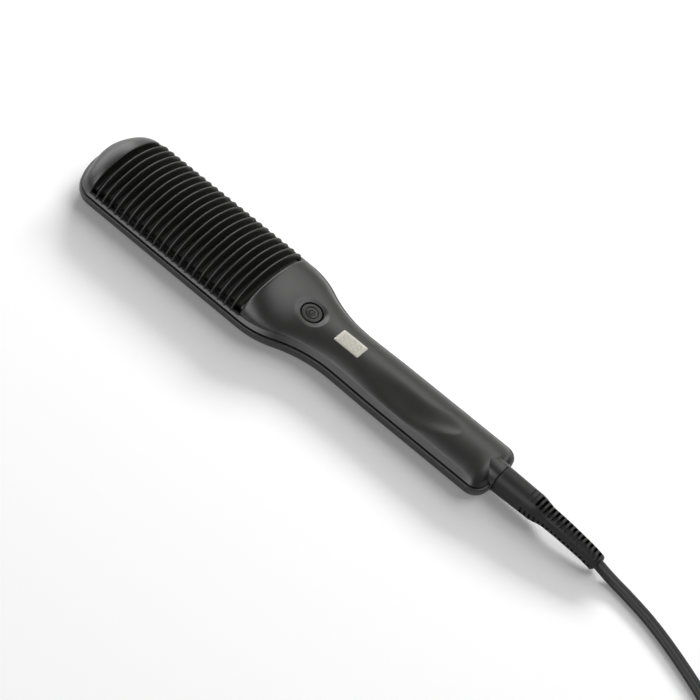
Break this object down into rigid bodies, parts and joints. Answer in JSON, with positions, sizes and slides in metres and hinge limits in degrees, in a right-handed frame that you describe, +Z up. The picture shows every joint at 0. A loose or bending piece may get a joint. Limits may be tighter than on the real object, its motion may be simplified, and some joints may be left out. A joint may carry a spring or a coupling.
{
  "type": "steam hair straightener brush",
  "caption": "Flat handheld heated brush with a comb of thin arched fins on a wide head, a slim grip with a round button and small display, and a swivel mains lead ending in a plug.",
  "frame": {"origin": "under the middle of the housing, on the flat strip of the back that it lies on", "axes": "+Z up, out of the fins' side; +X along the grip towards the mains lead; the tip of the head points to -X"},
  "size_m": [0.5058, 0.0968, 0.0261],
  "materials": {
    "housing_plastic": "fine matte warm grey",
    "collar_plastic": "matte black",
    "fin_plastic": "satin near black",
    "plate_metal": "dark coated aluminium",
    "steel": "plain",
    "tan_plastic": "plain",
    "tank_plastic": "smooth",
    "soft_rubber": "matte",
    "wick_felt": "felt",
    "button_plastic": "fine matte",
    "display_lens": "gloss, lightly tinted",
    "display_face": "silver beige",
    "board": "solder mask",
    "lead_sleeve": "glass fibre sleeve",
    "contact_brass": "smooth",
    "relief_rubber": "satin moulded",
    "cord_rubber": "matte"
  },
  "bodies": {
    "housing": {"upper_housing": "housing_plastic", "lower_housing": "housing_plastic", "cord_collar": "collar_plastic", "fin_guard": "fin_plastic", "heating_plate": "plate_metal", "ptc_heaters": "plate_metal", "heater_insulation": "tan_plastic", "heater_clamp": "steel", "heat_shield": "plate_metal", "temperature_sensor": "tan_plastic", "thermal_fuse": "steel", "water_tank": "tank_plastic", "tank_wick": "wick_felt", "steam_chamber": "plate_metal", "tact_switch": "collar_plastic", "display_window": "display_lens", "display_module": "display_face", "main_board": "board", "film_capacitor": "tan_plastic", "filter_capacitor": "collar_plastic", "triac": "collar_plastic", "mains_fuse": "tank_plastic", "heater_leads": "lead_sleeve", "sensor_leads": "lead_sleeve", "mains_leads": "lead_sleeve", "brush_carrier": "tan_plastic", "contact_brushes": "contact_brass", "housing_screws": "steel", "board_screws": "steel", "screw_caps": "soft_rubber"},
    "button": {"power_button": "button_plastic", "switch_plunger": "tan_plastic"},
    "filler": {"fill_plug": "soft_rubber"},
    "lead": {"swivel_hub": "collar_plastic", "slip_rings": "contact_brass", "strain_relief": "relief_rubber", "power_cord": "cord_rubber", "cord_coil": "cord_rubber", "cord_tie": "soft_rubber", "plug_lead": "cord_rubber", "plug_body": "relief_rubber", "plug_pins": "contact_brass"}
  },
  "joints": [
    {"name": "button_press", "type": "slide", "parent": "housing", "child": "button", "axis": [0, 0, -1], "range_m": [0, 0.0007], "stiffness_N_per_m": 400, "springref_m": -0.003},
    {"name": "filler_pull", "type": "slide", "parent": "housing", "child": "filler", "axis": [0, 1, 0], "range_m": [0, 0.014]},
    {"name": "lead_swivel", "type": "hinge", "parent": "housing", "child": "lead", "pos_m": [0.13, 0, 0.0091], "axis": [1, 0, 0], "continuous": true}
  ]
}
